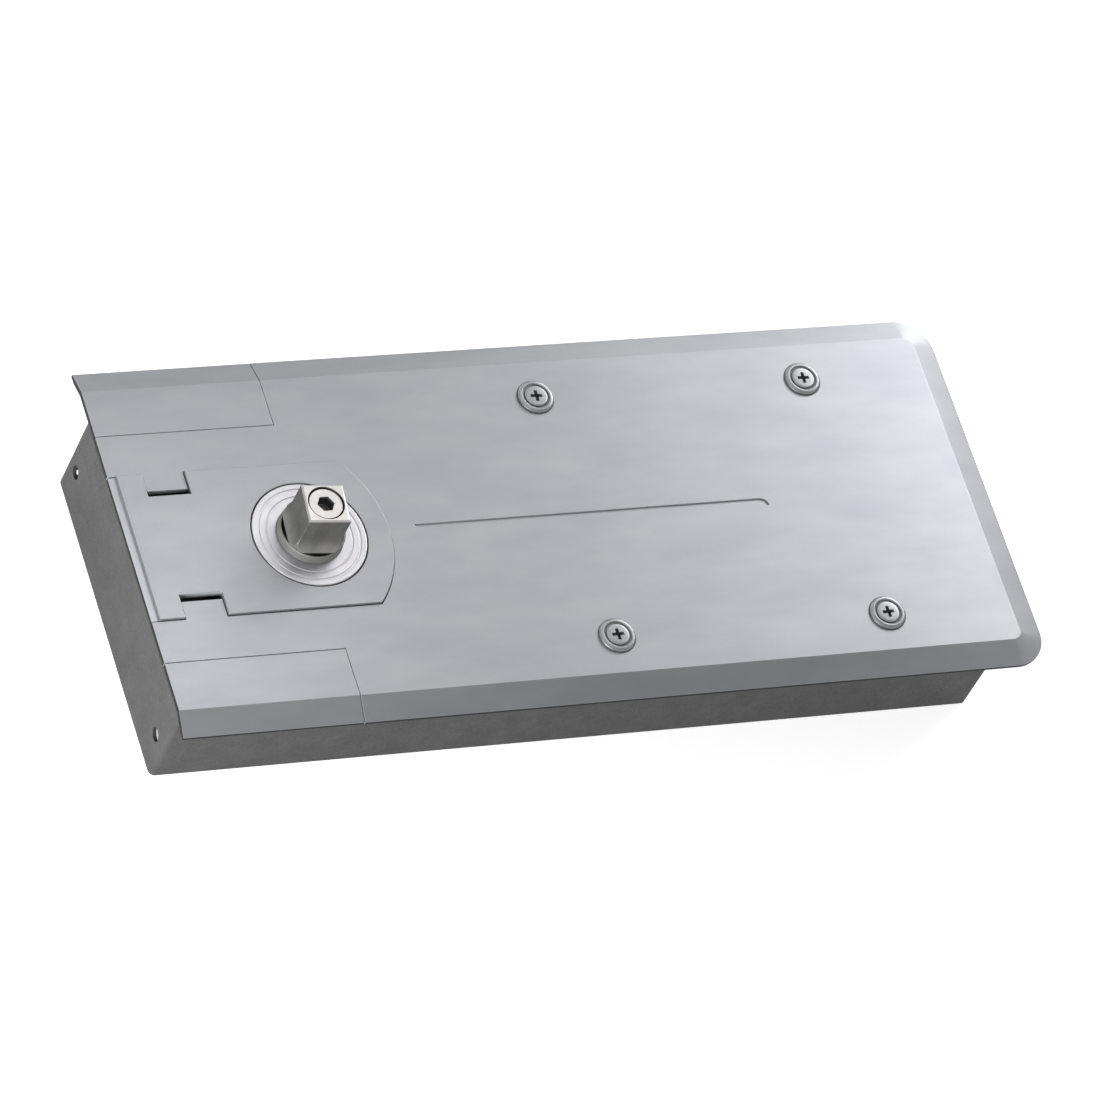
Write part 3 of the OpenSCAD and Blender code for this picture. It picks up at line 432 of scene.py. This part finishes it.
# The lip: painted a little brighter than the rest, a painted highlight
painted_lip_highlight = finish("painted highlight on the lip", "#909296", "#989A9E", cloud_mm=8, grain_mm=0.35,
                   roughness=(0.34, 0.44), bump_mm=0.004)
for node in ("cover_plate", "corner_plate_back", "corner_plate_front", "spindle_access_plate"):
    # The rounded edges and the steep joint faces take the painted light of the riser
    plate = rounded(node, satin, width_mm=0.22, edge=riser)
    for material in (painted_shade_edge, shaded, painted_lip_highlight):
        plate.data.materials.append(material)
    for face in plate.data.polygons:
        x, y, z = face.center
        past_x, past_y = x - high_x + rim_r, abs(y) - high_y + rim_r
        at_rim = (x < low_x + rim_w or x > high_x - rim_w or y < low_y + rim_w or y > high_y - rim_w
                  or past_x > 0 and past_y > 0 and math.hypot(past_x, past_y) > rim_r - rim_w)
        # Steep faces at the outer rim take the painted shade of the sheared edge
        face.material_index = (on_flat if abs(face.normal.z) > flat_from else
                               on_rim if at_rim else on_joint)
        if node != "spindle_access_plate":
            continue
        # The lip's riser and the access plate's front and back joint faces take the painted shade
        at_lip = (face.normal.x < end_facing and abs(y) < lip_y
                  and low_x + lip_near < x < low_x + lip_far)
        if at_lip or face.material_index == on_joint and abs(y) > shade_beyond_y:
            face.material_index = on_painted_shade
        # The lip's top takes the painted highlight
        if face.normal.z > flat_from and -lip_depth < z < 0:
            face.material_index = on_lip


# Cup washers and cover screws: four flat cross-head M6 screws in pressed cup washers, which hold
# the cover down to the nuts under the box's lugs. Each has been turned to its own place.
# Handled zinc plating: a middle grey that takes a soft light from the slopes of the washer
dulled_zinc = finish("handled zinc plating", "#7B7E80", "#878A8C", cloud_mm=5, grain_mm=0.5,
                     roughness=(0.36, 0.48), bump_mm=0.01)
# Painted shade: a grey ring in each washer's seat, and a darker one round its foot
painted_seat_shade = finish("painted shade in a seat", "#5C5F62", "#686B6E", cloud_mm=2, grain_mm=0.3,
                    roughness=(0.5, 0.65), bump_mm=0.02, metallic=0.3)
painted_dark_shade = finish("painted shade round a foot and in a socket", "#3C3F41", "#4A4D4F", cloud_mm=2, grain_mm=0.3,
               roughness=(0.5, 0.65), bump_mm=0.02, metallic=0.3)


def turned(name, profile):
    """A closed profile of radius and height in millimetres, spun round the upright axis."""
    crease_from = math.radians(40)
    work = bmesh.new()
    points = [work.verts.new((r / 1000, 0, z / 1000)) for r, z in profile]
    edges = [work.edges.new(pair) for pair in zip(points, points[1:] + points[:1])]
    bmesh.ops.spin(work, geom=points + edges, cent=(0, 0, 0), axis=(0, 0, 1),
                   angle=2 * math.pi, steps=64, use_merge=True, use_duplicate=False)
    bmesh.ops.remove_doubles(work, verts=work.verts, dist=1e-6)
    bmesh.ops.recalc_face_normals(work, faces=work.faces)
    mesh = bpy.data.meshes.new(name)
    work.to_mesh(mesh)
    work.free()
    for face in mesh.polygons:
        face.use_smooth = True
    mesh.set_sharp_from_angle(angle=crease_from)
    return stand(name, mesh)


cup = turned("one cup washer", [
    (7.5, 0.02), (7.46, 0.3), (7.3, 0.62), (7.0, 0.92), (6.6, 1.16), (6.15, 1.28), (5.8, 1.3),
    (5.6, 1.24), (5.45, 1.1), (5.3, 0.86), (4.76, 0.78), (4.7, 0.1), (3.02, -1.5), (3.02, -2.2),
    (4.2, -2.2), (5.2, -1.2), (5.2, 0.02)])
head = turned("one cover screw", [
    (0, -17.5), (2.4, -17.5), (3, -16.9), (3, -1.52), (4.6, 0.08), (4.68, 0.9), (4.62, 1.12),
    (4.48, 1.26), (4.2, 1.34), (3.6, 1.38), (2, 1.4), (0, 1.4)])

# The cross recess: two crossed blocks, by half their length and width in millimetres at the top,
# and by the share of these that is left at the recess's floor
arm_l, arm_w = 3.2, 0.74
floor_share_l, floor_share_w = 0.42, 0.884
recess_floor, recess_top = -0.0009, 0.003
cross = bmesh.new()
for along_x in (True, False):
    for v in bmesh.ops.create_cube(cross, size=0.002)["verts"]:
        deep = v.co.z < 0
        length = arm_l * (floor_share_l if deep else 1)
        width = arm_w * (floor_share_w if deep else 1)
        v.co = Vector((v.co.x * (length if along_x else width), v.co.y * (width if along_x else length),
                       recess_floor if deep else recess_top))
cross_mesh = bpy.data.meshes.new("cross recess")
cross.to_mesh(cross_mesh)
cross.free()
cutter = stand("cross recess", cross_mesh)
recess = head.modifiers.new("cross recess", "BOOLEAN")
recess.object = cutter
recess.solver = "EXACT"
recess.use_self = True
settle(head)
bpy.data.objects.remove(cutter)

screw_x = (0.1095, 0.2235)
screw_y = 0.054
most_turn = 0.06
seat_r, seat_z = 0.00545, 0.0011
wall_to = 0.5
foot_r = 0.0072
on_plating, on_seat, on_foot = range(3)
for single, node, name in ((cup, "cup_washers", "cup_washers_pressed"),
                           (head, "cover_screws", "cover_screws_headed")):
    grid = bpy.data.node_groups.new("four in a rectangle, " + name, "GeometryNodeTree")
    for label, kind, value in (("Piece", "NodeSocketObject", single),
                               ("Spacing along", "NodeSocketFloat", screw_x[1] - screw_x[0]),
                               ("Spacing across", "NodeSocketFloat", 2 * screw_y),
                               ("Centre", "NodeSocketVector", (sum(screw_x) / 2, 0, 0)),
                               ("Most turn", "NodeSocketFloat", most_turn),
                               ("Material", "NodeSocketMaterial", dulled_zinc)):
        grid.interface.new_socket(label, in_out="INPUT", socket_type=kind).default_value = value
    grid.interface.new_socket("Geometry", in_out="OUTPUT", socket_type="NodeSocketGeometry")
    given = add(grid, "NodeGroupInput").outputs
    places = add(grid, "GeometryNodeMeshGrid", {
        "Vertices X": 2, "Vertices Y": 2,
        "Size X": given["Spacing along"], "Size Y": given["Spacing across"]})
    moved = add(grid, "GeometryNodeTransform", {"Geometry": places.outputs[0],
                                                "Translation": given["Centre"]})
    shape = add(grid, "GeometryNodeObjectInfo", {"Object": given["Piece"]})
    least_turn = add(grid, "ShaderNodeMath", {0: given["Most turn"], 1: -1}, operation="MULTIPLY")
    # For a plain number, inputs 2 and 3 are the least and the most, and output 1 is the draw
    twist = add(grid, "FunctionNodeRandomValue", {2: least_turn.outputs[0], 3: given["Most turn"],
                                                  "Seed": 4}, data_type="FLOAT")
    turned_by = add(grid, "ShaderNodeCombineXYZ", {2: twist.outputs[1]})
    copies = add(grid, "GeometryNodeInstanceOnPoints", {
        "Points": moved.outputs[0], "Instance": shape.outputs["Geometry"],
        "Rotation": turned_by.outputs[0]})
    joined = add(grid, "GeometryNodeRealizeInstances", {0: copies.outputs[0]})
    coated = add(grid, "GeometryNodeSetMaterial", {0: joined.outputs[0],
                                                   "Material": given["Material"]})
    add(grid, "NodeGroupOutput", {0: coated.outputs[0]})
    four = stand(name, bpy.data.meshes.new(name))
    four.modifiers.new("places", "NODES").node_group = grid
    settle(four)
    four.data.materials.clear()
    for material in (dulled_zinc, painted_seat_shade, painted_dark_shade):
        four.data.materials.append(material)
    for face in four.data.polygons:
        x, y, z = face.center
        from_screw = math.hypot(min(abs(x - at) for at in screw_x), abs(y) - screw_y)
        # Seat faces take a painted shade, and faces round the foot a darker painted shade
        in_seat = from_screw < seat_r and (z < seat_z or abs(face.normal.z) < wall_to)
        face.material_index = on_seat if in_seat else on_foot if from_screw > foot_r else on_plating
    dress(four, node)
for single in (cup, head):
    bpy.data.objects.remove(single)


# Spindle, ring, insert and screw: turned on a lathe and milled. The ring keeps its lathe steps, and
# the square insert stands in the spindle's socket and is held by its hexagon socket screw.
# Pale plating over turned steel: the ring is nearly white and mirrors a soft light
turned_plate = finish("pale turned plating", "#A9A8AC", "#B4B3B7", cloud_mm=6, grain_mm=0.5,
                      roughness=(0.3, 0.42), bump_mm=0.01)
rounded("spindle_ring", turned_plate, width_mm=0.15)

# The collar's plating, worn matt: a middle grey that stays dull from every side
matt_plate = finish("matt worn plating", "#6A6A68", "#787876", cloud_mm=5, grain_mm=0.6,
                    roughness=(0.55, 0.68), bump_mm=0.02, metallic=0.6)
rounded("spindle", matt_plate, width_mm=0.15)

# The plating of the screw and of the insert's ground top: pale and warm. The hexagon has painted shade
plated = finish("pale plated steel", "#A6A4A2", "#B3B1AF", cloud_mm=4, grain_mm=0.4,
                roughness=(0.28, 0.4), bump_mm=0.02)
hexagon_r, hexagon_rim = 0.0036, 0.0003
level_from = 0.8
screw = rounded("spindle_screw", plated, width_mm=0.15)
screw.data.materials.append(painted_dark_shade)
screw_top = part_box("spindle_screw")[1][2]
# The hexagon socket's walls take the dark painted shade
for face in screw.data.polygons:
    x, y, z = face.center
    if (math.hypot(x, y) < hexagon_r and z < screw_top - hexagon_rim
            and face.normal.z < level_from):
        face.material_index = 2

# The insert's flats, with the darker skin that milling left: grey, with streaks that run upright
milled = finish("milled plated flats", "#7A7A77", "#8F8E8B", cloud_mm=5, grain_mm=0.6,
                roughness=(0.4, 0.52), bump_mm=0.02, stretch=(1, 1, 4))
ground_depth = 0.001
upward_from = 0.5
insert = rounded("spindle_insert", milled, width_mm=0.2)
insert.data.materials.append(plated)
insert_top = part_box("spindle_insert")[1][2]
for face in insert.data.polygons:
    if face.normal.z > upward_from and face.center.z > insert_top - ground_depth:
        face.material_index = 2
